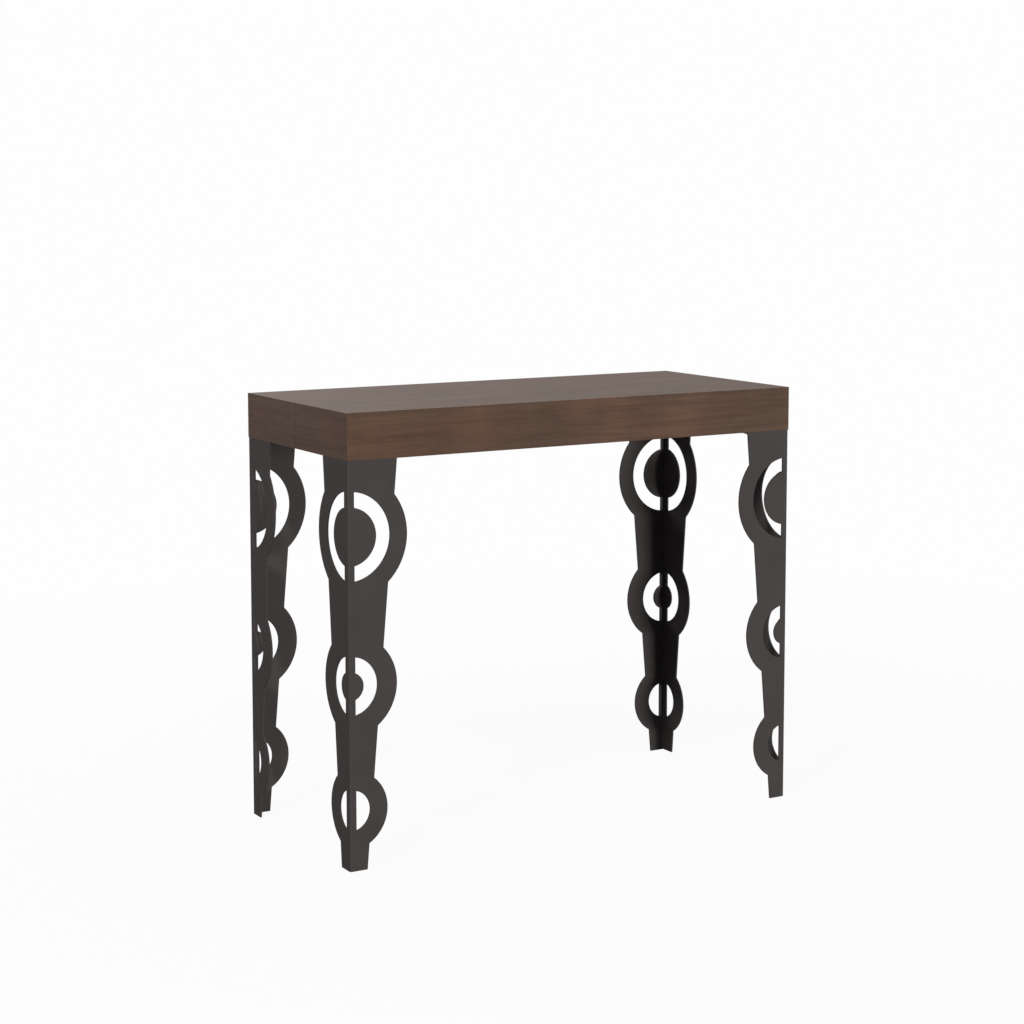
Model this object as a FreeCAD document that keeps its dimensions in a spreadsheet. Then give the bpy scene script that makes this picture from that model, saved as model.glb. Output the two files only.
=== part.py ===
"""Extending console table: two half tops on folded steel legs, joined by two packs of telescopic rails."""
import FreeCAD
import Part
import math
import os
import re
import Sketcher

from FreeCAD import Placement, Rotation, Vector

# Driving sizes in millimetres. X runs along the table, Y from front to rear, Z up from the floor.
SIZES = {
    # The closed table and its boards
    "table_width": 900,
    "table_depth": 400,
    "table_height": 768,
    "apron_height": 79,
    "board_thickness": 18,
    "split_gap": 0.5,
    # Folded sheet legs
    "sheet_thickness": 3,
    "inner_bend_radius": 1,
    "leg_top_width": 92,
    "leg_foot_width": 32.5,
    "fold_strip": 12.5,
    "ring_centre_inset": 3,
    "window_gap": 25.5,
    "top_stretch": 19,
    "upper_ring_radius": 107,
    "upper_window_radius": 75,
    "middle_ring_radius": 86.5,
    "middle_window_radius": 50,
    "foot_stretch": 35.5,
    "lower_ring_radius": 67.5,
    "lower_window_radius": 35,
    # Leg plates, corner blocks, inserts and bolts
    "plate_edge": 14,
    "plate_thickness": 4,
    "plate_corner_cut": 39,
    "plate_corner_relief": 3,
    "block_edge": 20,
    "bolt_near": 34,
    "bolt_far": 70,
    "bolt_radius": 3,
    "bolt_length": 18,
    "bolt_head_radius": 5.25,
    "bolt_head_crown_radius": 3.6,
    "bolt_head_height": 3.3,
    "bolt_hole_clearance": 0.3,
    "socket_radius": 2.3,
    "socket_depth": 2,
    "insert_radius": 4.5,
    "insert_length": 15,
    "insert_hole_depth": 20,
    "fit_clearance": 0.05,
    # Telescopic rails and their glides
    "rail_end_gap": 2,
    "rail_height": 46,
    "rail_drop": 1,
    "rail_wall": 3,
    "channel_depth": 9,
    "lip_thickness": 2.5,
    "lip_height": 8,
    "rail_gap": 1,
    "neck_height": 12,
    "glide_wall": 3,
    "head_thickness": 3,
    "glide_length": 35.4,
    "slide_clearance": 0.3,
    # Cleats that hold the outer rails
    "cleat_width": 25,
    "cleat_end_gap": 5,
    "cleat_side_gap": 35,
    # Wood screws
    "screw_radius": 2,
    "screw_head_radius": 4,
    "screw_crown_radius": 2.9,
    "screw_head_height": 2.4,
    "recess_width": 0.9,
    "recess_length": 4,
    "recess_depth": 1.4,
    "screw_bite": 12,
    "screw_tip_gap": 0.4,
    "rail_screw_edge": 30,
    "cleat_screw_edge": 60,
    # Alignment dowels in the meeting edges of the tops
    "dowel_radius": 4,
    "dowel_reach": 12,
    "dowel_seat": 18,
    "dowel_rounding": 1.2,
    "dowel_spacing": 280,
    "dowel_clearance": 0.3,
    # Swing-hook latch under the middle of the top
    "latch_setback": 24,
    "latch_plate_width": 46,
    "latch_plate_depth": 28,
    "latch_plate_thickness": 2,
    "latch_screw_spacing": 32,
    "shoulder_radius": 6,
    "shoulder_height": 4,
    "pivot_radius": 3,
    "pivot_clearance": 0.05,
    "pivot_head_radius": 5.5,
    "pivot_head_height": 2,
    "lever_thickness": 3,
    "lever_clearance": 0.3,
    "hub_radius": 9,
    "arm_width": 14,
    "arm_tip": 8,
    "arm_rounding": 4,
    "stud_radius": 3,
    "stud_slack": 0.9,
    "tail_length": 24,
    "tail_width": 14,
    "tab_height": 10,
}

RAIL_COUNT = 10
HALVES = {"rear": 1, "front": -1}
SIDES = {"left": -1, "right": 1}
TOLERANCE = 1e-4

# Places that several pieces share, as expressions of the driving sizes
OUTER_WIDTH = ("-(table_width / 2)", "table_width / 2")
INNER_WIDTH = ("-(table_width / 2 - board_thickness)", "table_width / 2 - board_thickness")
UNDERSIDE = "table_height - board_thickness"
APRON_BOTTOM = "table_height - apron_height"
RAIL_LENGTH = "(table_depth - 2 * board_thickness - 2 * rail_end_gap)"
RAIL_BOTTOM = "table_height - board_thickness - rail_drop - rail_height"
RAIL_PITCH = "(rail_wall + channel_depth + lip_thickness + rail_gap)"
BLOCK_REACH = "(bolt_far + block_edge)"
PLATE_SIZE = "(bolt_far + plate_edge)"
PACK_OUTER = f"(table_width / 2 - {BLOCK_REACH} - cleat_side_gap - cleat_width)"
PACK_INNER = f"({PACK_OUTER} - {RAIL_COUNT - 1} * {RAIL_PITCH} - rail_wall)"
HEAD_HEIGHT = "(rail_height - 2 * rail_wall - 2 * glide_wall)"
NECK_LENGTH = "(rail_gap + lip_thickness + (channel_depth - head_thickness) / 2)"
LATCH_X = "(tail_length - 2 * latch_setback - stud_radius - stud_slack - arm_tip) / 2"
LEVER_TOP = f"{UNDERSIDE} - latch_plate_thickness - shoulder_height - lever_clearance"
HEAD_TOP = f"{LEVER_TOP} - lever_thickness - lever_clearance"
DOWEL_PLACES = ("-dowel_spacing", "0", "dowel_spacing")
BOLT_PLACES = (("bolt_near", "bolt_near"), ("bolt_far", "bolt_near"), ("bolt_near", "bolt_far"))
AXES = {
    "+X": Rotation(Vector(0, 1, 0), 90),
    "-X": Rotation(Vector(0, 1, 0), -90),
    "+Y": Rotation(Vector(1, 0, 0), -90),
    "+Z": Rotation(),
}

doc = FreeCAD.newDocument("extending_console_table")
sheet = doc.addObject("Spreadsheet::Sheet", "Sizes")
for row, (alias, size) in enumerate(SIZES.items(), 1):
    sheet.set(f"A{row}", alias)
    sheet.set(f"B{row}", str(size))
    sheet.setAlias(f"B{row}", alias)
doc.recompute()
nodes = {}


# Ties between the sheet and the model

def from_sheet(expression):
    """The expression with every size name pointed at the sheet."""
    return re.sub(r"[a-z_]+", lambda name: f"Sizes.{name[0]}" if name[0] in SIZES else name[0], expression)


def value(expression):
    """The expression's present value."""
    return float(sheet.evalExpression(expression))


def bind(obj, **expressions):
    """Tie properties to expressions; x, y and z are the coordinates of the placement."""
    for name, expression in expressions.items():
        path = f"Placement.Base.{name}" if name in ("x", "y", "z") else name
        obj.setExpression(path, from_sheet(expression))
    return obj


def node(label, obj):
    """Name a finished sub-part."""
    obj.Label = label
    nodes[label] = obj
    return obj


def span(sign, near, far):
    """Low and high expressions of a stretch on the positive or negative side of the middle."""
    return (near, far) if sign > 0 else (f"-({far})", f"-({near})")


# Primitives and booleans

def block(x, y, z):
    """A box between the low and high expressions given for each axis."""
    spans = {"Length": x, "Width": y, "Height": z}
    lengths = {name: f"({high}) - ({low})" for name, (low, high) in spans.items()}
    return bind(doc.addObject("Part::Box", "block"), x=x[0], y=y[0], z=z[0], **lengths)


def rod(at, axis, radius, length):
    """A cylinder that starts at a point and runs along an axis."""
    cylinder = doc.addObject("Part::Cylinder", "rod")
    cylinder.Placement = Placement(Vector(), AXES[axis])
    return bind(cylinder, x=at[0], y=at[1], z=at[2], Radius=radius, Height=length)


def fuse(parts):
    joined = doc.addObject("Part::MultiFuse", "joined")
    joined.Shapes = parts
    return joined


def group(parts):
    """Separate solids kept together as one object."""
    together = doc.addObject("Part::Compound", "together")
    together.Links = parts
    return together


def cut(base, tools):
    result = doc.addObject("Part::Cut", "cut")
    result.Base = base
    result.Tool = group(tools) if len(tools) > 1 else tools[0]
    return result


# Sketches

def new_body(name):
    return doc.addObject("PartDesign::Body", name)


def sketch_on(body, plane_role):
    plane = next(item for item in body.Origin.OriginFeatures if item.Role == plane_role)
    sketch = body.newObject("Sketcher::SketchObject", "sketch")
    sketch.AttachmentSupport = [(plane, "")]
    sketch.MapMode = "FlatFace"
    return sketch


def hold(sketch, kind, places, expression):
    """Add one dimension to a sketch and tie it to an expression."""
    index = sketch.addConstraint(Sketcher.Constraint(kind, *places, value(expression)))
    sketch.setExpression(f"Constraints[{index}]", from_sheet(expression))


def hold_point(sketch, geometry, point, x=None, y=None):
    """Place a sketch point by expressions measured from the sketch's origin."""
    if x is not None:
        hold(sketch, "DistanceX", (-1, 1, geometry, point), x)
    if y is not None:
        hold(sketch, "DistanceY", (-1, 1, geometry, point), y)


def polygon(sketch, corners):
    """A closed outline through corners, each a pair of expressions."""
    points = [Vector(value(x), value(y), 0) for x, y in corners]
    lines = [Part.LineSegment(a, b) for a, b in zip(points, points[1:] + points[:1])]
    indices = sketch.addGeometry(lines)
    following = indices[1:] + indices[:1]
    sketch.addConstraint([Sketcher.Constraint("Coincident", a, 2, b, 1) for a, b in zip(indices, following)])
    for index, (x, y) in zip(indices, corners):
        hold_point(sketch, index, 1, x, y)


def circle(sketch, x, y, radius):
    centre = Vector(value(x), value(y), 0)
    index = sketch.addGeometry(Part.Circle(centre, Vector(0, 0, 1), value(radius)))
    hold_point(sketch, index, 3, x, y)
    hold(sketch, "Radius", (index,), radius)


def ring_arc(sketch, height, radius, edge):
    """The arc of a leg ring, cut off at an upright line at the edge distance from the fold."""
    centre = Vector(value("ring_centre_inset"), value(height), 0)
    length = value(radius)
    turn = math.acos((value(edge) - centre.x) / length)
    arc = Part.ArcOfCircle(Part.Circle(centre, Vector(0, 0, 1), length), -turn, turn)
    index = sketch.addGeometry(arc)
    hold_point(sketch, index, 3, "ring_centre_inset", height)
    hold(sketch, "Radius", (index,), radius)
    hold_point(sketch, index, 1, x=edge)
    hold_point(sketch, index, 2, x=edge)
    return index


def chord(sketch, first, second):
    """A straight line between two sketch points, each a geometry index and a point number."""
    line = Part.LineSegment(sketch.getPoint(*first), sketch.getPoint(*second))
    index = sketch.addGeometry(line)
    sketch.addConstraint([
        Sketcher.Constraint("Coincident", *first, index, 1),
        Sketcher.Constraint("Coincident", *second, index, 2),
    ])


def pad(body, sketch, length, reverse=False, symmetric=False):
    feature = body.newObject("PartDesign::Pad", "pad")
    feature.Profile = sketch
    feature.Reversed = reverse
    feature.SideType = "Symmetric" if symmetric else "One side"
    return bind(feature, Length=length)


def pocket(body, sketch, depth, reverse):
    feature = body.newObject("PartDesign::Pocket", "pocket")
    feature.Profile = sketch
    feature.Reversed = reverse
    return bind(feature, Length=depth)


def upright_edges(shape, x, y):
    """Names of the edges that stand on one point of the plan."""
    def stands_there(edge):
        return all(abs(v.X - x) < TOLERANCE and abs(v.Y - y) < TOLERANCE for v in edge.Vertexes)
    return [f"Edge{index}" for index, edge in enumerate(shape.Edges, 1) if stands_there(edge)]


def round_upright(body, places, radius):
    """Round the upright edges that stand on the given points of the plan."""
    doc.recompute()
    base = body.Tip
    names = [name for x, y in places for name in upright_edges(base.Shape, value(x), value(y))]
    fillet = body.newObject("PartDesign::Fillet", "fillet")
    fillet.Base = (base, names)
    bind(fillet, Radius=radius)


# Boards of the two half tops

def mitred_board(turn, inner, outer, outward, inner_at, outer_at):
    """A board whose outer face is larger than its inner face by its mitres.

    Each face is a pair of spans, across and up. The outer face is at the end of the board's own Y axis
    that outward, +1 or -1, tells.
    """
    wedge = doc.addObject("Part::Wedge", "board")
    wedge.Placement = Placement(Vector(), turn)
    low, high = (inner, outer) if outward > 0 else (outer, inner)
    low_at, high_at = span(outward, inner_at, outer_at)
    (x_low, x_high), (z_low, z_high) = low
    (top_x_low, top_x_high), (top_z_low, top_z_high) = high
    return bind(
        wedge, Ymin=low_at, Xmin=x_low, Xmax=x_high, Zmin=z_low, Zmax=z_high,
        Ymax=high_at, X2min=top_x_low, X2max=top_x_high, Z2min=top_z_low, Z2max=top_z_high,
    )


def top_panel(half, sign):
    inner = (INNER_WIDTH, span(-sign, "split_gap / 2", "table_depth / 2 - board_thickness"))
    outer = (OUTER_WIDTH, span(-sign, "split_gap / 2", "table_depth / 2"))
    turn = Rotation(Vector(1, 0, 0), 90)
    board = mitred_board(turn, inner, outer, 1, UNDERSIDE, "table_height")
    tools = [dowel_hole(x, sign) for x in DOWEL_PLACES]
    screw_hole = ("screw_radius + fit_clearance", "screw_bite")
    tools += [rod((x, y, UNDERSIDE), "+Z", *screw_hole) for x, y in cleat_screw_places(sign)]
    tools += [rod((x, y, UNDERSIDE), "+Z", *screw_hole) for x, y in latch_screw_places(sign)]
    node(f"{half}_top_panel", cut(board, tools))


def long_apron(half, sign):
    inner = (INNER_WIDTH, (APRON_BOTTOM, UNDERSIDE))
    outer = (OUTER_WIDTH, (APRON_BOTTOM, "table_height"))
    inner_at, outer_at = "table_depth / 2 - board_thickness", "table_depth / 2"
    node(f"{half}_apron", mitred_board(Rotation(), inner, outer, sign, inner_at, outer_at))


def side_apron(half, sign, side, hand):
    inner = (span(-sign, "split_gap / 2", "table_depth / 2 - board_thickness"), (APRON_BOTTOM, UNDERSIDE))
    outer = (span(-sign, "split_gap / 2", "table_depth / 2"), (APRON_BOTTOM, "table_height"))
    turn = Rotation(Vector(0, 0, 1), -90)
    board = mitred_board(turn, inner, outer, hand, "table_width / 2 - board_thickness", "table_width / 2")
    node(f"{half}_{side}_apron", board)


# Alignment dowels, glued in the front top and free in the rear top

def dowel_hole(x, sign):
    middle = "table_height - board_thickness / 2"
    if sign > 0:
        return rod((x, "0", middle), "+Y", "dowel_radius + dowel_clearance", "dowel_reach + dowel_clearance")
    return rod((x, "-dowel_seat", middle), "+Y", "dowel_radius + fit_clearance", "dowel_seat")


def dowels():
    def dowel(x):
        plain = rod((x, "-dowel_seat", "table_height - board_thickness / 2"), "+Y",
                    "dowel_radius", "dowel_seat + dowel_reach")
        doc.recompute()
        rims = [i for i, edge in enumerate(plain.Shape.Edges, 1) if edge.Closed]
        rounded = doc.addObject("Part::Fillet", "dowel")
        rounded.Base = plain
        rounded.Edges = [(rim, value("dowel_rounding"), value("dowel_rounding")) for rim in rims]
        return rounded
    node("alignment_dowels", group([dowel(x) for x in DOWEL_PLACES]))


# Legs, folded from one sheet with three rings in each flange

LOWER_RING_TOP = "foot_stretch + 2 * lower_ring_radius"
UPPER_RING_BOTTOM = f"{APRON_BOTTOM} - top_stretch - 2 * upper_ring_radius"
RING_HEIGHTS = {
    "upper": f"{APRON_BOTTOM} - top_stretch - upper_ring_radius",
    "middle": f"({LOWER_RING_TOP} + {UPPER_RING_BOTTOM}) / 2",
    "lower": "foot_stretch + lower_ring_radius",
}


def leg_flange(body, plane_role, plane_faces_out):
    """One flange of a leg, standing on the fold: a tapered strip, three rings on it, and their windows."""
    plate = sketch_on(body, plane_role)
    polygon(plate, [
        ("0", "0"), ("leg_foot_width", "0"), ("leg_top_width", APRON_BOTTOM), ("0", APRON_BOTTOM)])
    pad(body, plate, "sheet_thickness", reverse=plane_faces_out)
    for ring, height in RING_HEIGHTS.items():
        disc = sketch_on(body, plane_role)
        arc = ring_arc(disc, height, f"{ring}_ring_radius", "0")
        chord(disc, (arc, 2), (arc, 1))
        pad(body, disc, "sheet_thickness", reverse=plane_faces_out)
    windows = sketch_on(body, plane_role)
    for ring, height in RING_HEIGHTS.items():
        window(windows, height, f"{ring}_window_radius")
    pocket(body, windows, "sheet_thickness", reverse=not plane_faces_out)


def window(sketch, height, radius):
    """The opening in a ring, beside the strip at the fold; a disc wider than the strip stands in it."""
    outer = ring_arc(sketch, height, radius, "fold_strip")
    disc_radius = f"{radius} - window_gap"
    if value(disc_radius) > value("fold_strip - ring_centre_inset"):
        disc = ring_arc(sketch, height, disc_radius, "fold_strip")
        chord(sketch, (outer, 2), (disc, 2))
        chord(sketch, (disc, 1), (outer, 1))
    else:
        chord(sketch, (outer, 2), (outer, 1))


def at_corner(obj, sign, hand, z):
    """Stand an object made in the +X +Y quarter in a corner of the table, facing inwards."""
    quarter_turns = {(-1, -1): 0, (-1, 1): 1, (1, 1): 2, (1, -1): 3}
    obj.Placement = Placement(Vector(), Rotation(Vector(0, 0, 1), 90 * quarter_turns[sign, hand]))
    bind(obj, x=f"{hand} * table_width / 2", y=f"{sign} * table_depth / 2", z=z)


def leg(half, sign, side, hand):
    body = new_body("leg")
    leg_flange(body, "XZ_Plane", plane_faces_out=True)
    leg_flange(body, "YZ_Plane", plane_faces_out=False)
    round_upright(body, [("0", "0")], "inner_bend_radius + sheet_thickness")
    round_upright(body, [("sheet_thickness", "sheet_thickness")], "inner_bend_radius")
    at_corner(body, sign, hand, "0")
    node(f"{half}_{side}_leg", body)


# Leg plates, corner blocks and what holds them together

def leg_plate(sign, hand):
    """Plate welded between the flanges at the top of a leg, drilled for the bolts."""
    body = new_body("leg_plate")
    wall, size = "sheet_thickness", PLATE_SIZE
    relief = "sheet_thickness + inner_bend_radius + plate_corner_relief"
    corner = f"{PLATE_SIZE} - plate_corner_cut"
    outline = sketch_on(body, "XY_Plane")
    polygon(outline, [
        (relief, wall), (size, wall), (size, corner), (corner, size), (wall, size), (wall, relief)])
    pad(body, outline, "plate_thickness")
    holes = sketch_on(body, "XY_Plane")
    for x, y in BOLT_PLACES:
        circle(holes, x, y, "bolt_radius + bolt_hole_clearance")
    pocket(body, holes, "plate_thickness", reverse=True)
    at_corner(body, sign, hand, f"{APRON_BOTTOM} - plate_thickness")
    return body


def corner_bolts(sign, hand):
    """Plan places of the bolts of one leg."""
    return [(f"{hand} * (table_width / 2 - {x})", f"{sign} * (table_depth / 2 - {y})")
            for x, y in BOLT_PLACES]


def bolt_places(sign):
    """Plan places of all leg bolts on one half."""
    return [place for hand in SIDES.values() for place in corner_bolts(sign, hand)]


def corner_blocks(half, sign):
    def one_block(hand):
        solid = block(
            span(hand, f"table_width / 2 - {BLOCK_REACH}", "table_width / 2 - board_thickness"),
            span(sign, f"table_depth / 2 - {BLOCK_REACH}", "table_depth / 2 - board_thickness"),
            (APRON_BOTTOM, UNDERSIDE))
        holes = [rod((x, y, APRON_BOTTOM), "+Z", "insert_radius + fit_clearance", "insert_hole_depth")
                 for x, y in corner_bolts(sign, hand)]
        return cut(solid, holes)
    node(f"{half}_corner_blocks", group([one_block(hand) for hand in SIDES.values()]))


def inserts(half, sign):
    def insert(x, y):
        sleeve = rod((x, y, APRON_BOTTOM), "+Z", "insert_radius", "insert_length")
        bore = rod((x, y, APRON_BOTTOM), "+Z", "bolt_radius + fit_clearance", "insert_length")
        return cut(sleeve, [bore])
    node(f"{half}_leg_inserts", group([insert(x, y) for x, y in bolt_places(sign)]))


def bolt(x, y):
    """Button-head bolt with a hexagon socket, put in from below."""
    seat = f"{APRON_BOTTOM} - plate_thickness"
    shank = rod((x, y, seat), "+Z", "bolt_radius", "bolt_length")
    head = bind(doc.addObject("Part::Cone", "head"), x=x, y=y, z=f"{seat} - bolt_head_height",
                Radius1="bolt_head_crown_radius", Radius2="bolt_head_radius", Height="bolt_head_height")
    socket = bind(doc.addObject("Part::Prism", "socket"), x=x, y=y, z=f"{seat} - bolt_head_height",
                  Circumradius="socket_radius", Height="socket_depth")
    return cut(fuse([shank, head]), [socket])


def leg_fixings(half, sign):
    corner_blocks(half, sign)
    inserts(half, sign)
    node(f"{half}_leg_plates", group([leg_plate(sign, hand) for hand in SIDES.values()]))
    node(f"{half}_leg_bolts", group([bolt(x, y) for x, y in bolt_places(sign)]))


# Telescopic rails: each is a channel with lips, and a tongue that runs in the channel of the rail before it

def middle(height, end):
    """Low (-1) or high (+1) level of something centred on the rail's height."""
    return f"(rail_height + {end} * {height}) / 2"


def rail_outline(number):
    """Section of a rail, from the back of its web at x = 0, with its channel towards +X."""
    top, inside = "rail_height", "rail_height - rail_wall"
    lip_back, lip_face = "rail_wall + channel_depth", "rail_wall + channel_depth + lip_thickness"
    lip_low, lip_high = "rail_wall + lip_height", "rail_height - rail_wall - lip_height"
    channel = [
        ("0", "0"), (lip_face, "0"), (lip_face, lip_low), (lip_back, lip_low), (lip_back, "rail_wall"),
        ("rail_wall", "rail_wall"), ("rail_wall", inside), (lip_back, inside), (lip_back, lip_high),
        (lip_face, lip_high), (lip_face, top), ("0", top)]
    plain_web = [("0", "0"), ("rail_wall", "0"), ("rail_wall", top), ("0", top)]
    head_back, head_tip = f"-{NECK_LENGTH}", f"-({NECK_LENGTH} + head_thickness)"
    tongue = [
        ("0", middle("neck_height", 1)), (head_back, middle("neck_height", 1)),
        (head_back, middle(HEAD_HEIGHT, 1)), (head_tip, middle(HEAD_HEIGHT, 1)),
        (head_tip, middle(HEAD_HEIGHT, -1)), (head_back, middle(HEAD_HEIGHT, -1)),
        (head_back, middle("neck_height", -1)), ("0", middle("neck_height", -1))]
    return (channel if number < RAIL_COUNT else plain_web) + (tongue if number > 1 else [])


def in_pack(obj, hand, number, y="0"):
    """Place an object made on a rail's own axes in the left or right pack; the right pack is turned round."""
    obj.Placement = Placement(Vector(), Rotation(Vector(0, 0, 1), 180 if hand > 0 else 0))
    bind(obj, x=f"{hand} * ({PACK_OUTER} - {number - 1} * {RAIL_PITCH})", y=y, z=RAIL_BOTTOM)


def rail(side, hand, number):
    body = new_body("rail")
    outline = sketch_on(body, "XZ_Plane")
    polygon(outline, rail_outline(number))
    pad(body, outline, RAIL_LENGTH, symmetric=True)
    if number in (1, RAIL_COUNT):
        sign = HALVES["rear"] if number == 1 else HALVES["front"]
        holes = sketch_on(body, "YZ_Plane")
        for y in rail_screw_stations(sign):
            circle(holes, f"{-hand} * ({y})", "rail_height / 2", "screw_radius + fit_clearance")
        pocket(body, holes, "rail_wall", reverse=True)
    in_pack(body, hand, number)
    node(f"{side}_rail_{number}", body)


def glide_outline(x, z, slack, shift):
    """Section of a glide: a block with a slot for the tongue, whose rail's web stands at the shift."""
    neck = f"{shift} - {NECK_LENGTH} + {slack}"
    tip = f"{shift} - {NECK_LENGTH} - head_thickness - {slack}"
    neck_low, neck_high = f"{middle('neck_height', -1)} - {slack}", f"{middle('neck_height', 1)} + {slack}"
    head_low, head_high = f"{middle(HEAD_HEIGHT, -1)} - {slack}", f"{middle(HEAD_HEIGHT, 1)} + {slack}"
    (x_low, x_high), (z_low, z_high) = x, z
    return [
        (x_low, z_low), (x_high, z_low), (x_high, neck_low), (neck, neck_low),
        (neck, head_low), (tip, head_low), (tip, head_high), (neck, head_high),
        (neck, neck_high), (x_high, neck_high), (x_high, z_high), (x_low, z_high)]


def glide(hand, number, outline, end):
    """A glide at the rear (+1) or front (-1) end of a rail."""
    body = new_body("glide")
    section = sketch_on(body, "XZ_Plane")
    polygon(section, outline)
    pad(body, section, "glide_length", symmetric=True)
    in_pack(body, hand, number, f"{end} * ({RAIL_LENGTH} - glide_length) / 2")
    return body


def channel_glide(hand, number):
    """Fixed in the front end of a rail's channel; the next rail's tongue runs through it."""
    x = ("rail_wall", "rail_wall + channel_depth")
    z = ("rail_wall", "rail_height - rail_wall")
    return glide(hand, number, glide_outline(x, z, "slide_clearance", RAIL_PITCH), HALVES["front"])


def tongue_glide(hand, number):
    """Fixed on the rear end of a rail's tongue; it runs in the channel of the rail before."""
    x = ("-(rail_gap + lip_thickness + channel_depth - slide_clearance)",
         "-(rail_gap + lip_thickness + slide_clearance)")
    z = ("rail_wall + slide_clearance", "rail_height - rail_wall - slide_clearance")
    return glide(hand, number, glide_outline(x, z, "0", "0"), HALVES["rear"])


def rail_stage(number):
    """The left and right rails of one stage, and the glides fixed to them."""
    glides = []
    for side, hand in SIDES.items():
        rail(side, hand, number)
        if number < RAIL_COUNT:
            glides.append(channel_glide(hand, number))
        if number > 1:
            glides.append(tongue_glide(hand, number))
    node(f"rail_glides_{number}", group(glides))


# Cleats that carry the first and last rails, and the wood screws

def cleat_span(sign, hand):
    """Stretch along X of a cleat: outside the pack on the rear half, inside it on the front half."""
    if sign > 0:
        return span(hand, PACK_OUTER, f"{PACK_OUTER} + cleat_width")
    return span(hand, f"{PACK_INNER} - cleat_width", PACK_INNER)


def rail_screw_stations(sign):
    """Places along Y of the screws that go through a cleat into its rail."""
    return [f"{sign} * (cleat_end_gap + rail_screw_edge)", f"{sign} * ({RAIL_LENGTH} / 2 - rail_screw_edge)"]


def cleat_screw_places(sign):
    """Plan places of the screws that go up through the cleats into the top."""
    stations = [
        f"{sign} * (cleat_end_gap + cleat_screw_edge)",
        f"{sign} * ({RAIL_LENGTH} / 2 - cleat_screw_edge)",
    ]
    middles = {hand: cleat_span(sign, hand) for hand in SIDES.values()}
    return [(f"(({low}) + ({high})) / 2", y) for low, high in middles.values() for y in stations]


def latch_screw_places(sign):
    """Plan places of the screws that hold the latch plate on one half."""
    return [(f"{LATCH_X} + {end} * latch_screw_spacing / 2", f"{sign} * latch_setback") for end in (-1, 1)]


def cleats(half, sign):
    def cleat(hand):
        x = cleat_span(sign, hand)
        bar = block(x, span(sign, "cleat_end_gap", f"{RAIL_LENGTH} / 2"), (RAIL_BOTTOM, UNDERSIDE))
        radius = "screw_radius + fit_clearance"
        across = [rod((x[0], y, f"{RAIL_BOTTOM} + rail_height / 2"), "+X", radius, "cleat_width")
                  for y in rail_screw_stations(sign)]
        upward = [rod((f"(({x[0]}) + ({x[1]})) / 2", y, RAIL_BOTTOM), "+Z", radius, "rail_height + rail_drop")
                  for y in {place[1]: None for place in cleat_screw_places(sign)}]
        return cut(bar, across + upward)
    node(f"{half}_rail_cleats", group([cleat(hand) for hand in SIDES.values()]))


def screw(at, axis, length):
    """Pan-head wood screw with a cross recess, its head's seat at a point and its shank along an axis."""
    shank = rod(("0", "0", "0"), "+Z", "screw_radius", length)
    head = bind(doc.addObject("Part::Cone", "head"), z="-screw_head_height",
                Radius1="screw_crown_radius", Radius2="screw_head_radius", Height="screw_head_height")
    half_width, half_length = "recess_width / 2", "recess_length / 2"
    depth = ("-screw_head_height", "-screw_head_height + recess_depth")
    recess = fuse([
        block(span(1, f"-{half_width}", half_width), span(1, f"-{half_length}", half_length), depth),
        block(span(1, f"-{half_length}", half_length), span(1, f"-{half_width}", half_width), depth)])
    whole = cut(fuse([shank, head]), [recess])
    whole.Placement = Placement(Vector(), AXES[axis])
    return bind(whole, x=at[0], y=at[1], z=at[2])


def wood_screws(half, sign):
    bite = "screw_bite - screw_tip_gap"
    parts = [screw((x, y, RAIL_BOTTOM), "+Z", f"rail_height + rail_drop + {bite}")
             for x, y in cleat_screw_places(sign)]
    parts += [screw((x, y, f"{UNDERSIDE} - latch_plate_thickness"), "+Z", f"latch_plate_thickness + {bite}")
              for x, y in latch_screw_places(sign)]
    for hand in SIDES.values():
        low, high = cleat_span(sign, hand)
        from_low = hand * sign < 0
        for y in rail_screw_stations(sign):
            at = (low if from_low else high, y, f"{RAIL_BOTTOM} + rail_height / 2")
            axis = "+X" if from_low else "-X"
            parts.append(screw(at, axis, "cleat_width + rail_wall - screw_tip_gap"))
    node(f"{half}_wood_screws", group(parts))


# Swing-hook latch: the lever turns on the front half and hooks the keeper's stud on the rear half

def latch_plate(sign, centre_radius):
    """Plate under the top, drilled for its screws and for the pin in its middle."""
    plate = block(
        (f"{LATCH_X} - latch_plate_width / 2", f"{LATCH_X} + latch_plate_width / 2"),
        span(sign, "latch_setback - latch_plate_depth / 2", "latch_setback + latch_plate_depth / 2"),
        (f"{UNDERSIDE} - latch_plate_thickness", UNDERSIDE))
    bottom = f"{UNDERSIDE} - latch_plate_thickness"
    holes = [rod((x, y, bottom), "+Z", "screw_radius + fit_clearance", "latch_plate_thickness")
             for x, y in latch_screw_places(sign)]
    holes.append(rod((LATCH_X, f"{sign} * latch_setback", bottom), "+Z",
                     f"{centre_radius} + fit_clearance", "latch_plate_thickness"))
    return cut(plate, holes)


def latch_pin(sign, radius, collar_radius, collar_height):
    """Headed pin riveted in a latch plate, with a collar under the plate."""
    y = f"{sign} * latch_setback"
    shaft = rod((LATCH_X, y, HEAD_TOP), "+Z", radius, f"{UNDERSIDE} - ({HEAD_TOP})")
    head_bottom = f"{HEAD_TOP} - pivot_head_height"
    head = rod((LATCH_X, y, head_bottom), "+Z", "pivot_head_radius", "pivot_head_height")
    collar_bottom = f"{UNDERSIDE} - latch_plate_thickness - {collar_height}"
    collar = rod((LATCH_X, y, collar_bottom), "+Z", collar_radius, collar_height)
    return fuse([shaft, head, collar])


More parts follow.
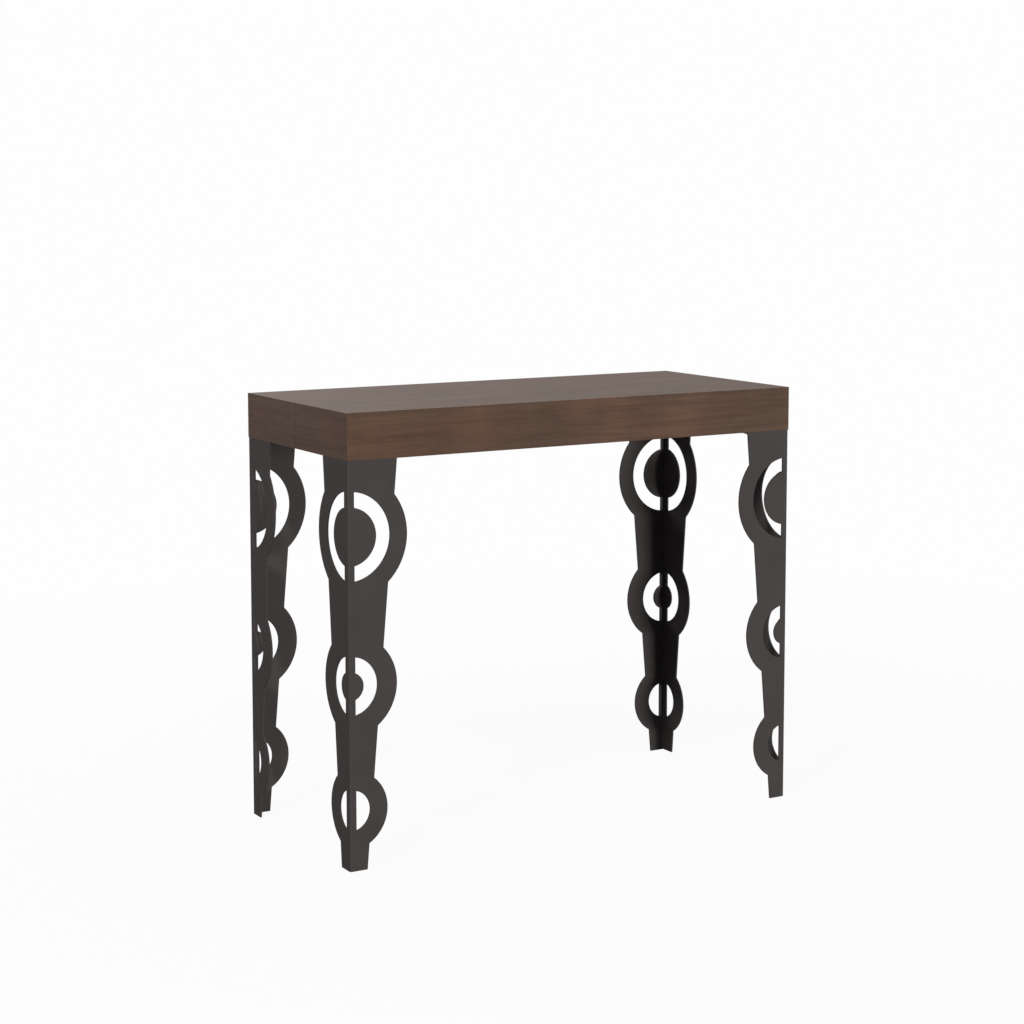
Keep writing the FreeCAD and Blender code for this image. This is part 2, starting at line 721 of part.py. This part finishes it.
def latch_lever():
    """Flat lever along +X on its pivot: an arm with a hook slot open towards +Y, and a tail with a tab."""
    body = new_body("lever")
    reach = "2 * latch_setback"
    tip = f"{reach} + stud_radius + stud_slack + arm_tip"
    slot_radius = "stud_radius + stud_slack"
    arm = sketch_on(body, "XY_Plane")
    polygon(arm, [
        ("0", "-arm_width / 2"), (tip, "-arm_width / 2"), (tip, "arm_width / 2"), ("0", "arm_width / 2")])
    pad(body, arm, "lever_thickness")
    tail = sketch_on(body, "XY_Plane")
    polygon(tail, [
        ("-tail_length", "-tail_width / 2"), ("0", "-tail_width / 2"), ("0", "tail_width / 2"),
        ("-tail_length", "tail_width / 2")])
    pad(body, tail, "lever_thickness")
    hub = sketch_on(body, "XY_Plane")
    circle(hub, "0", "0", "hub_radius")
    pad(body, hub, "lever_thickness")
    tab = sketch_on(body, "XY_Plane")
    tab_back = "-tail_length + lever_thickness"
    polygon(tab, [
        ("-tail_length", "-tail_width / 2"), (tab_back, "-tail_width / 2"), (tab_back, "tail_width / 2"),
        ("-tail_length", "tail_width / 2")])
    pad(body, tab, "tab_height", reverse=True)
    pivot_hole = sketch_on(body, "XY_Plane")
    circle(pivot_hole, "0", "0", "pivot_radius + pivot_clearance")
    pocket(body, pivot_hole, "lever_thickness", reverse=True)
    slot_end = sketch_on(body, "XY_Plane")
    circle(slot_end, reach, "0", slot_radius)
    pocket(body, slot_end, "lever_thickness", reverse=True)
    slot = sketch_on(body, "XY_Plane")
    slot_low, slot_high = f"{reach} - ({slot_radius})", f"{reach} + {slot_radius}"
    polygon(slot, [
        (slot_low, "0"), (slot_high, "0"), (slot_high, "arm_width / 2"), (slot_low, "arm_width / 2")])
    pocket(body, slot, "lever_thickness", reverse=True)
    round_upright(body, [(tip, "-arm_width / 2"), (tip, "arm_width / 2")], "arm_rounding")
    bind(body, x=LATCH_X, y="-latch_setback", z=f"{LEVER_TOP} - lever_thickness")
    node("latch_lever", body)


def latch():
    rear, front = HALVES["rear"], HALVES["front"]
    node("latch_base", latch_plate(front, "pivot_radius"))
    node("latch_pivot", latch_pin(front, "pivot_radius", "shoulder_radius", "shoulder_height"))
    latch_lever()
    keeper_pin = latch_pin(rear, "stud_radius", "shoulder_radius", "shoulder_height")
    node("latch_keeper", group([latch_plate(rear, "stud_radius"), keeper_pin]))


# The whole table

def half_table(half, sign):
    top_panel(half, sign)
    long_apron(half, sign)
    for side, hand in SIDES.items():
        side_apron(half, sign, side, hand)
        leg(half, sign, side, hand)
    leg_fixings(half, sign)
    cleats(half, sign)
    wood_screws(half, sign)


def check_model():
    """Stop if a feature failed, a pocket cut nothing or a sub-part has no valid solid."""
    for obj in doc.Objects:
        if {"Invalid", "Error"} & set(obj.State):
            raise RuntimeError(f"{obj.Label} failed: {obj.State}")
        if obj.TypeId == "PartDesign::Pocket" and obj.Shape.Volume > obj.BaseFeature.Shape.Volume - TOLERANCE:
            raise RuntimeError(f"{obj.Label} cut nothing")
    for label, obj in nodes.items():
        if obj.Shape.isNull() or not obj.Shape.isValid() or not obj.Shape.Solids:
            raise RuntimeError(f"{label} has no valid solid")


for half, sign in HALVES.items():
    half_table(half, sign)
for number in range(1, RAIL_COUNT + 1):
    rail_stage(number)
dowels()
latch()
doc.recompute()
check_model()

os.makedirs("parts", exist_ok=True)
for label, obj in nodes.items():
    obj.Shape.exportStep(f"parts/{label}.step")
stage_travel = value(f"{RAIL_LENGTH} - 2 * glide_length - slide_clearance")
print(f"{len(nodes)} sub-parts; each of {RAIL_COUNT - 1} rail stages travels {stage_travel:.2f} mm")
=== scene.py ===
"""Looks of an extending console table: laminated boards, powder-coated legs and the rails under the top."""
import bmesh
import bpy
import math

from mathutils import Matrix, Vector


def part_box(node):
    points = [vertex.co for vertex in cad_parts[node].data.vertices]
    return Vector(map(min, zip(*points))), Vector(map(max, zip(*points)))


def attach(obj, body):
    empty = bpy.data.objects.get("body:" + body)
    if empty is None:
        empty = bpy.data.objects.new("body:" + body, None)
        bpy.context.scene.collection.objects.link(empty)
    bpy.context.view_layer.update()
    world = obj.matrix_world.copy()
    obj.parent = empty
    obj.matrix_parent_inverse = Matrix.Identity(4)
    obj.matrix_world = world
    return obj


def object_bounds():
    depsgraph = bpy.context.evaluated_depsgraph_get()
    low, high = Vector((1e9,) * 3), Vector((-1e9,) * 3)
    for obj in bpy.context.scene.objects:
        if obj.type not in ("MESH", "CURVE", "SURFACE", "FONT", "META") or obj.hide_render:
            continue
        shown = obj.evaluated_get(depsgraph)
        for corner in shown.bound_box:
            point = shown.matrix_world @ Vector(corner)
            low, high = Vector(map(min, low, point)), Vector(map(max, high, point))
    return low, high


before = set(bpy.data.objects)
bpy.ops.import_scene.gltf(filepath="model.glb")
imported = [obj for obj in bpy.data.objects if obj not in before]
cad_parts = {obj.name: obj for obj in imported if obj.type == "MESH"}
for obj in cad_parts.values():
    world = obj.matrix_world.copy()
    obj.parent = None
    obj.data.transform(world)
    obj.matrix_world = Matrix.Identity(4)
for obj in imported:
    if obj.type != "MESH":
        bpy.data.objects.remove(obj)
cad_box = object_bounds()

MM = 0.001
QUARTER_TURN = math.pi / 2
WHITE = (0.99, 0.99, 0.99, 1.0)

# Camera, fitted to the photograph's edges: lens in pixels, shift in frame widths, place in metres
IMAGE_SIZE = 1024
SENSOR_WIDTH = 36
LENS_PIXELS = 2202.1
CAMERA_SHIFT = (-0.0098, -0.1)
CAMERA_PLACE = (-2.0145, -3.4133, 1.1475)
CAMERA_PITCH = math.radians(5.983)
CAMERA_HEADING = math.radians(-30.544)

# Softboxes: degrees round from the front to the right, degrees up, metres away, width and height, watts
LAMPS = {
    "key": (-57, 43, 7.0, (1.0, 1.0), 240),
    "low_fill": (36, 2, 11.0, (4.7, 1.9), 885),
    "rear": (-170, 26, 5.0, (2.5, 2.5), 120),
}
LAMP_TARGET = Vector((0, 0, 0.45))
AMBIENT = 0.05

# Floor, in metres: its share of plain white rises from the near to the far distance
FLOOR_SIZE = 40
FLOOR_DROP = 0.2 * MM
FLOOR_NEAR, FLOOR_FAR = 0.7, 2.6
FLOOR_WHITE_NEAR = 0.955
FLOOR_SEEN = (0.9, 0.9, 0.9, 1.0)
FLOOR_BOUNCE = (0.15, 0.15, 0.15, 1.0)

# Soft arrises on the frame's nodes
MERGE_DISTANCE = 0.002 * MM
FLAT_ANGLE = math.radians(0.5)
ARRIS_ANGLE = math.radians(30)
ARRIS_SEGMENTS = 2
ARRIS_SHADE_WEIGHT = 100

# Sheet of the legs
SHEET = 3 * MM
FOLD_RADIUS = 4 * MM
# Share of the painted highlight laid on the legs' folds
FOLD_HIGHLIGHT = 0.6

# Welds of the leg plates: where a stitch starts and ends from the table's corner, then its bead
WELD_STITCHES = ((14 * MM, 34 * MM), (48 * MM, 68 * MM))
WELD_RADIUS = 2.4 * MM
BEAD_STEPS, BEAD_TURNS = 48, 6
BEAD_RIPPLES, RIPPLE_DEPTH = 7, 0.16
BEAD_TAPER, BEAD_END = 12, 0.15

# Walnut figure: how close its rings are, how far they bend and how high its fibres stand
RING_CLOSENESS = 46
RING_BEND = 0.9
FIBRE_LIFT = 0.3


def rgb(red, green, blue):
    return (red, green, blue, 1.0)


# Colours, in linear values
WALNUT = {
    "dark": rgb(0.088, 0.0484, 0.0295),
    "light": rgb(0.138, 0.0753, 0.0459),
    "red": rgb(0.137, 0.0632, 0.0385),
    "olive": rgb(0.108, 0.0679, 0.0377),
    "ring": rgb(0.073, 0.0381, 0.023),
    "dark_streak": rgb(0.072, 0.0372, 0.023),
    "pale_streak": rgb(0.165, 0.093, 0.0566),
    "pore": rgb(0.036, 0.0195, 0.0123),
    "fibre": rgb(0.05, 0.0279, 0.0172),
}
ANTHRACITE = {
    "dark": rgb(0.065, 0.0578, 0.0553),
    "light": rgb(0.073, 0.0655, 0.063),
    "speck": rgb(0.09, 0.084, 0.082),
    # Painted highlight: the lighter colour laid on the legs' folds
    "painted_highlight": rgb(0.115, 0.106, 0.104),
}
BEECH = {
    "dark": rgb(0.46, 0.3, 0.17),
    "light": rgb(0.58, 0.42, 0.26),
    "grain": rgb(0.36, 0.22, 0.12),
    "fleck": rgb(0.25, 0.14, 0.07),
}
ALUMINIUM = {
    "dark": rgb(0.5, 0.51, 0.52),
    "light": rgb(0.58, 0.58, 0.59),
    "line": rgb(0.38, 0.39, 0.4),
}
NYLON = {
    "dark": rgb(0.76, 0.74, 0.67),
    "light": rgb(0.84, 0.83, 0.78),
    "grain": rgb(0.66, 0.63, 0.55),
}
ZINC = {
    "dark": rgb(0.52, 0.53, 0.54),
    "light": rgb(0.61, 0.62, 0.62),
    "mark": rgb(0.42, 0.42, 0.41),
}


# Camera, at the photograph's viewing angle

def add_camera():
    data = bpy.data.cameras.new("camera")
    data.sensor_width = SENSOR_WIDTH
    data.lens = SENSOR_WIDTH * LENS_PIXELS / IMAGE_SIZE
    data.shift_x, data.shift_y = CAMERA_SHIFT
    camera = bpy.data.objects.new("camera", data)
    camera.location = CAMERA_PLACE
    camera.rotation_euler = (QUARTER_TURN - CAMERA_PITCH, 0, CAMERA_HEADING)
    bpy.context.scene.collection.objects.link(camera)
    bpy.context.scene.camera = camera


# Node building

def set_inputs(tree, node, inputs):
    for name, value in inputs.items():
        if isinstance(value, bpy.types.NodeSocket):
            tree.links.new(value, node.inputs[name])
        else:
            node.inputs[name].default_value = value


def add(tree, kind, inputs=None, **settings):
    """A node with its settings made and its inputs set or linked."""
    node = tree.nodes.new(kind)
    for name, value in settings.items():
        setattr(node, name, value)
    set_inputs(tree, node, inputs or {})
    return node


def coordinates(tree, scale, turn=0, offset=(0, 0, 0)):
    """Object coordinates in metres, turned about Z, moved and then stretched."""
    place = add(tree, "ShaderNodeTexCoord").outputs["Object"]
    turned = add(tree, "ShaderNodeMapping", {
        "Vector": place, "Rotation": (0, 0, turn), "Location": offset,
    }).outputs["Vector"]
    return add(tree, "ShaderNodeMapping", {"Vector": turned, "Scale": scale}).outputs["Vector"]


def noise(tree, vector, detail=3.0, roughness=0.55, distortion=0.0):
    return add(tree, "ShaderNodeTexNoise", {
        "Vector": vector, "Scale": 1.0, "Detail": detail, "Roughness": roughness, "Distortion": distortion,
    }).outputs["Fac"]


def even_noise(tree, scale, **settings):
    """Noise with the same number of features in a metre along every axis."""
    return noise(tree, coordinates(tree, (scale, scale, scale)), **settings)


def remap(tree, value, low, high, to_low=0.0, to_high=1.0):
    inputs = {"Value": value, "From Min": low, "From Max": high, "To Min": to_low, "To Max": to_high}
    return add(tree, "ShaderNodeMapRange", inputs, clamp=True).outputs["Result"]


def math_node(tree, operation, first, second=0):
    node = add(tree, "ShaderNodeMath", operation=operation)
    set_inputs(tree, node, {0: first, 1: second})
    return node.outputs["Value"]


def mix_colour(tree, factor, first, second, blend="MIX"):
    node = add(tree, "ShaderNodeMix", data_type="RGBA", blend_type=blend)
    set_inputs(tree, node, {0: factor, 6: first, 7: second})
    return node.outputs[2]


def tint(tree, under, over, pattern, low, high, most=1.0):
    """Lays a colour over another where a pattern goes from low to high, at most by the given share."""
    return mix_colour(tree, remap(tree, pattern, low, high, 0, most), under, over)


def new_surface(name, **constants):
    """A material with a Principled shader; constant values go straight on its sockets."""
    material = bpy.data.materials.new(name)
    material.use_nodes = True
    tree = material.node_tree
    shader = tree.nodes["Principled BSDF"]
    set_inputs(tree, shader, {key.replace("_", " "): value for key, value in constants.items()})
    return material, tree, shader


def finish_surface(tree, shader, colour, roughness, height, depth):
    """Links the colour, the roughness and a bump of the given depth in millimetres."""
    bump = add(tree, "ShaderNodeBump", {"Height": height, "Strength": 1.0, "Distance": depth * MM})
    set_inputs(tree, shader, {
        "Base Color": colour, "Roughness": roughness, "Normal": bump.outputs["Normal"],
    })


# Materials

def walnut(name, shade, sheen, figure, turn=0, offset=(0, 0, 0)):
    """Dark walnut laminate with its grain along X, or along Y when it is turned.

    Shade scales its colours as painted shade, since copies for faces that get less light are written
    darker. Sheen is its gloss and figure the depth of the soft bands across its grain.
    """
    material, tree, shader = new_surface(name, Specular_IOR_Level=sheen)

    def place(along, across, shift=(0, 0, 0)):
        """Coordinates with so many features in a metre along and across the grain."""
        return coordinates(tree, (along, across, across), turn, Vector(offset) + Vector(shift))

    bend = noise(tree, place(2.2, 7), detail=2)
    patches = noise(tree, place(5, 19), detail=4, distortion=0.8)
    hues = noise(tree, place(7, 16, (3, 1, 2)))
    streaks = noise(tree, place(4, 130), detail=5, roughness=0.62)
    fibres = noise(tree, place(16, 900), roughness=0.6)
    pores = noise(tree, place(45, 1500, (1, 5, 3)), detail=1)
    bands = noise(tree, place(8, 4, (2, 6, 1)), detail=2)
    eyes = add(tree, "ShaderNodeTexVoronoi", {
        "Vector": place(1.7, 8), "Scale": 1.0, "Smoothness": 0.6,
    }, feature="SMOOTH_F1").outputs["Distance"]
    warped = math_node(tree, "ADD", eyes, math_node(tree, "MULTIPLY", bend, RING_BEND))
    rings = math_node(tree, "SINE", math_node(tree, "MULTIPLY", warped, RING_CLOSENESS))
    colour = tint(tree, WALNUT["dark"], WALNUT["light"], patches, 0.32, 0.7)
    colour = tint(tree, colour, WALNUT["red"], hues, 0.42, 0.68, 0.75)
    colour = tint(tree, colour, WALNUT["olive"], hues, 0.44, 0.28, 0.7)
    colour = tint(tree, colour, WALNUT["ring"], rings, 0.1, 1, 0.3)
    colour = tint(tree, colour, WALNUT["dark_streak"], streaks, 0.5, 0.75, 0.55)
    colour = tint(tree, colour, WALNUT["pale_streak"], streaks, 0.46, 0.26, 0.4)
    colour = tint(tree, colour, WALNUT["pore"], pores, 0.63, 0.72, 0.6)
    colour = tint(tree, colour, WALNUT["fibre"], fibres, 0.35, 0.7, 0.22)
    # The soft bands, scaled by this copy's painted shade
    banded_painted_shade = remap(tree, bands, 0.33, 0.67, (1 - figure) * shade, (1 + figure) * shade)
    shaded = mix_colour(tree, 1.0, colour, banded_painted_shade, "MULTIPLY")
    roughness = remap(tree, streaks, 0.3, 0.7, 0.58, 0.68)
    lift = math_node(tree, "MULTIPLY", fibres, FIBRE_LIFT)
    height = math_node(tree, "SUBTRACT", lift, remap(tree, pores, 0.6, 0.72))
    finish_surface(tree, shader, shaded, roughness, height, depth=0.06)
    return material


def fold_highlight_mask(tree):
    """Mask of the painted highlight: one on the rounded folds at the table's four corners and zero on the
    flat flanges.
    """
    object_place = add(tree, "ShaderNodeTexCoord").outputs["Object"]
    place = add(tree, "ShaderNodeSeparateXYZ", {0: object_place}).outputs
    shares = []
    for axis in ("X", "Y"):
        face = getattr(cad_box[1], axis.lower())
        depth = math_node(tree, "ABSOLUTE", place[axis])
        shares.append(remap(tree, depth, face - FOLD_RADIUS, face - FOLD_RADIUS / 2))
    return math_node(tree, "MULTIPLY", *shares)


def powder_coat():
    """Matt anthracite powder coat with a fine orange peel and a painted highlight along the folds."""
    material, tree, shader = new_surface("anthracite_powder_coat", Specular_IOR_Level=0.06)
    clouds = even_noise(tree, 14)
    specks = even_noise(tree, 1400, detail=2, roughness=0.7)
    peel = even_noise(tree, 520, detail=2, roughness=0.5)
    colour = tint(tree, ANTHRACITE["dark"], ANTHRACITE["light"], clouds, 0.3, 0.7)
    colour = tint(tree, colour, ANTHRACITE["speck"], specks, 0.55, 0.75, 0.5)
    # Painted highlight: the folds are made lighter in colour, standing in for light caught by the bend
    highlight_share = math_node(tree, "MULTIPLY", fold_highlight_mask(tree), FOLD_HIGHLIGHT)
    painted_highlight = mix_colour(tree, highlight_share, colour, ANTHRACITE["painted_highlight"])
    roughness = remap(tree, peel, 0.3, 0.7, 0.64, 0.8)
    finish_surface(tree, shader, painted_highlight, roughness, peel, depth=0.09)
    return material


def raw_wood(name, turn):
    """Pale unfinished beech, grain along X or, when it is turned, along Y."""
    material, tree, shader = new_surface(name, Specular_IOR_Level=0.25)
    broad = noise(tree, coordinates(tree, (5, 60, 60), turn), detail=4, distortion=0.4)
    fine = noise(tree, coordinates(tree, (60, 1100, 1100), turn), roughness=0.6)
    flecks = noise(tree, coordinates(tree, (220, 1500, 1500), turn), detail=1)
    colour = tint(tree, BEECH["dark"], BEECH["light"], broad, 0.3, 0.7)
    colour = tint(tree, colour, BEECH["grain"], fine, 0.4, 0.75, 0.5)
    colour = tint(tree, colour, BEECH["fleck"], flecks, 0.62, 0.72, 0.55)
    roughness = remap(tree, fine, 0.3, 0.7, 0.6, 0.75)
    finish_surface(tree, shader, colour, roughness, fine, depth=0.12)
    return material


def aluminium():
    """Extruded aluminium with die lines along Y."""
    material, tree, shader = new_surface("extruded_aluminium", Metallic=1.0, Anisotropic=0.5)
    lines = noise(tree, coordinates(tree, (1100, 2.5, 1100)), roughness=0.6)
    haze = noise(tree, coordinates(tree, (30, 8, 30)))
    colour = tint(tree, ALUMINIUM["dark"], ALUMINIUM["light"], haze, 0.3, 0.7)
    colour = tint(tree, colour, ALUMINIUM["line"], lines, 0.45, 0.75, 0.4)
    roughness = remap(tree, haze, 0.3, 0.7, 0.3, 0.42)
    finish_surface(tree, shader, colour, roughness, lines, depth=0.03)
    return material


def glide_plastic():
    """Natural moulded nylon, slightly mottled."""
    material, tree, shader = new_surface("moulded_nylon", Subsurface_Weight=0.06)
    mottle = even_noise(tree, 90)
    grain = even_noise(tree, 2600, detail=2)
    colour = tint(tree, NYLON["dark"], NYLON["light"], mottle, 0.3, 0.7)
    colour = tint(tree, colour, NYLON["grain"], grain, 0.55, 0.8, 0.25)
    roughness = remap(tree, mottle, 0.3, 0.7, 0.42, 0.55)
    finish_surface(tree, shader, colour, roughness, grain, depth=0.04)
    return material


def zinc_steel():
    """Bright zinc plate with a faint crystal mottle and handling marks."""
    material, tree, shader = new_surface("zinc_plated_steel", Metallic=1.0)
    cells = coordinates(tree, (700, 700, 700))
    crystals = add(tree, "ShaderNodeTexVoronoi", {"Vector": cells}).outputs["Color"]
    marks = even_noise(tree, 240, detail=4, distortion=0.6)
    colour = tint(tree, ZINC["dark"], ZINC["light"], crystals, 0, 1)
    colour = tint(tree, colour, ZINC["mark"], marks, 0.55, 0.75, 0.4)
    roughness = remap(tree, marks, 0.3, 0.7, 0.28, 0.45)
    finish_surface(tree, shader, colour, roughness, marks, depth=0.03)
    return material


# Frame nodes: materials and soft arrises

def soften(node, width):
    """Rounds a node's sharp edges by a width in millimetres; the frame's own mesh stays as it is."""
    weld = node.modifiers.new("weld", "WELD")
    weld.merge_threshold = MERGE_DISTANCE
    merge = node.modifiers.new("flat_faces", "DECIMATE")
    merge.decimate_type = "DISSOLVE"
    merge.angle_limit = FLAT_ANGLE
    bevel = node.modifiers.new("arris", "BEVEL")
    bevel.width = width * MM
    bevel.segments = ARRIS_SEGMENTS
    bevel.limit_method = "ANGLE"
    bevel.angle_limit = ARRIS_ANGLE
    bevel.use_clamp_overlap = False
    shade = node.modifiers.new("shade", "WEIGHTED_NORMAL")
    shade.weight = ARRIS_SHADE_WEIGHT


def dress(nodes):
    """Gives each node its material and soft arris, and returns the legs' material."""
    # Painted shade: the top's and the side aprons' copies of the one laminate are written darker than the
    # front and rear aprons' copy, for the lesser light on them
    top = walnut("walnut_top_painted_shade", shade=0.76, sheen=0.345, figure=0.06)
    along = walnut("walnut_along", shade=0.9, sheen=0.16, figure=0.15)
    across = walnut(
        "walnut_across_painted_shade", shade=0.67, sheen=0.16, figure=0.15, turn=QUARTER_TURN, offset=(4, 2, 0),
    )
    coat = powder_coat()
    metal = zinc_steel()
    beech = raw_wood("beech", QUARTER_TURN)
    rail_metal = aluminium()
    nylon = glide_plastic()
    # By how a node's name ends, side aprons before the others: its material and its arris in millimetres
    looks = {
        "left_apron": (across, 0.25),
        "right_apron": (across, 0.25),
        "top_panel": (top, 0.25),
        "apron": (along, 0.25),
        "leg": (coat, 0.3),
        "leg_plates": (coat, 0.3),
        "corner_blocks": (beech, 0.8),
        "rail_cleats": (beech, 0.8),
        "alignment_dowels": (beech, None),
        "leg_inserts": (metal, None),
        "leg_bolts": (metal, None),
        "wood_screws": (metal, None),
        "latch_base": (metal, 0.25),
        "latch_pivot": (metal, 0.25),
        "latch_lever": (metal, 0.3),
        "latch_keeper": (metal, 0.25),
        "rail": (rail_metal, 0.2),
        "rail_glides": (nylon, 0.25),
    }
    for name, node in nodes.items():
        kind = next(key for key in looks if name.rstrip("_0123456789").endswith(key))
        material, arris = looks[kind]
        for place in node.material_slots:
            place.material = material
        if arris:
            soften(node, arris)
    return coat


# Weld beads between the leg plates and the flanges

def bead_rings(start, end, side, down):
    """Outlines of a rippled fillet bead in the corner between a flange and the plate above it."""
    angles = [QUARTER_TURN * turn / BEAD_TURNS for turn in range(BEAD_TURNS + 1)]
    for step in range(BEAD_STEPS + 1):
        share = step / BEAD_STEPS
        taper = min(1.0, BEAD_TAPER * share, BEAD_TAPER * (1 - share))
        ripple = abs(math.sin(math.pi * BEAD_RIPPLES * share))
        reach = WELD_RADIUS * math.sqrt(max(taper, BEAD_END)) * (1 - RIPPLE_DEPTH + RIPPLE_DEPTH * ripple)
        centre = start.lerp(end, share)
        yield [centre] + [
            centre + side * (reach * math.cos(angle)) + down * (reach * math.sin(angle)) for angle in angles
        ]


def add_bead(mesh, *place):
    rings = [[mesh.verts.new(point) for point in ring] for ring in bead_rings(*place)]
    count = len(rings[0])
    for ring, following in zip(rings, rings[1:]):
        for here in range(count):
            ahead = (here + 1) % count
            mesh.faces.new((ring[here], ring[ahead], following[ahead], following[here]))
    mesh.faces.new(rings[0])
    mesh.faces.new(rings[-1])


def add_welds(half, coat):
    """Stitch welds that hold the two leg plates of a half."""
    mesh = bmesh.new()
    down = Vector((0, 0, -1))
    plate_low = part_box(f"{half}_leg_plates")[0].z
    facing = 1 if half == "rear" else -1
    for side in ("left", "right"):
        low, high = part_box(f"{half}_{side}_leg")
        hand = 1 if side == "right" else -1
        corner = Vector((high.x if hand > 0 else low.x, high.y if facing > 0 else low.y, plate_low))
        into_x, into_y = Vector((-hand, 0, 0)), Vector((0, -facing, 0))
        for along, away in ((into_x, into_y), (into_y, into_x)):
            root = corner + away * SHEET
            for first, last in WELD_STITCHES:
                add_bead(mesh, root + along * first, root + along * last, away, down)
    bmesh.ops.recalc_face_normals(mesh, faces=mesh.faces)
    for face in mesh.faces:
        face.smooth = True
    data = bpy.data.meshes.new(f"{half}_leg_welds")
    mesh.to_mesh(data)
    mesh.free()
    data.materials.append(coat)
    welds = bpy.data.objects.new(f"{half}_leg_welds", data)
    bpy.context.scene.collection.objects.link(welds)
    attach(welds, f"{half}_half")


# Stage and light

def background_ray(tree):
    """One for rays from the camera and for mirror-like and clear surfaces, zero for the rest."""
    path = add(tree, "ShaderNodeLightPath").outputs
    seen = math_node(tree, "MAXIMUM", path["Is Camera Ray"], path["Is Transmission Ray"])
    return math_node(tree, "MAXIMUM", seen, path["Is Glossy Ray"])


def mix_shader(tree, factor, first, second):
    node = add(tree, "ShaderNodeMixShader")
    set_inputs(tree, node, {0: factor, 1: first.outputs[0], 2: second.outputs[0]})
    return node


def add_world():
    """White where it is seen, and a low even light for the rest."""
    world = bpy.data.worlds.new("studio")
    world.use_nodes = True
    bpy.context.scene.world = world
    tree = world.node_tree
    tree.nodes.clear()
    seen = add(tree, "ShaderNodeBackground", {"Color": WHITE, "Strength": 1.0})
    unseen = add(tree, "ShaderNodeBackground", {"Color": rgb(1, 1, 1), "Strength": AMBIENT})
    both = mix_shader(tree, background_ray(tree), unseen, seen)
    add(tree, "ShaderNodeOutputWorld", {"Surface": both.outputs[0]})


def add_floor():
    """A pale floor with a faint shadow that fades to the background's white and is clear from below."""
    bpy.ops.mesh.primitive_plane_add(size=FLOOR_SIZE, location=(0, 0, -FLOOR_DROP))
    floor = bpy.context.object
    floor.name = "floor"
    material = bpy.data.materials.new("floor")
    material.use_nodes = True
    tree = material.node_tree
    tree.nodes.clear()
    place = add(tree, "ShaderNodeTexCoord").outputs["Object"]
    distance = add(tree, "ShaderNodeVectorMath", {0: place}, operation="LENGTH").outputs["Value"]
    share = remap(tree, distance, FLOOR_NEAR, FLOOR_FAR, FLOOR_WHITE_NEAR, 1.0)
    seen = background_ray(tree)
    colour = mix_colour(tree, seen, FLOOR_BOUNCE, FLOOR_SEEN)
    matt = add(tree, "ShaderNodeBsdfDiffuse", {"Color": colour})
    glow = add(tree, "ShaderNodeEmission", {"Color": WHITE, "Strength": 1.0})
    both = mix_shader(tree, math_node(tree, "MULTIPLY", seen, share), matt, glow)
    clear = add(tree, "ShaderNodeBsdfTransparent")
    below = add(tree, "ShaderNodeNewGeometry").outputs["Backfacing"]
    one_sided = mix_shader(tree, below, both, clear)
    add(tree, "ShaderNodeOutputMaterial", {"Surface": one_sided.outputs[0]})
    floor.data.materials.append(material)


def add_lamp(name, azimuth, elevation, distance, size, power):
    """A softbox, width by height, that faces the table. Azimuth 0 is in front of it and 90 to its right."""
    lamp = bpy.data.lights.new(name, "AREA")
    lamp.shape = "RECTANGLE"
    lamp.size, lamp.size_y = size
    lamp.energy = power
    turn, rise = math.radians(azimuth), math.radians(elevation)
    away = Vector((math.sin(turn) * math.cos(rise), -math.cos(turn) * math.cos(rise), math.sin(rise)))
    softbox = bpy.data.objects.new(name, lamp)
    softbox.location = LAMP_TARGET + away * distance
    softbox.rotation_mode = "QUATERNION"
    softbox.rotation_quaternion = away.to_track_quat("Z", "Y")
    bpy.context.scene.collection.objects.link(softbox)


# The scene

for leftover in ("Cube", "Light", "Camera"):
    if leftover in bpy.data.objects:
        bpy.data.objects.remove(bpy.data.objects[leftover])
bpy.context.scene.view_settings.view_transform = "Standard"
add_camera()
add_world()
add_floor()
for lamp_name, lamp_settings in LAMPS.items():
    add_lamp(lamp_name, *lamp_settings)
leg_coat = dress(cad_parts)
for table_half in ("front", "rear"):
    add_welds(table_half, leg_coat)
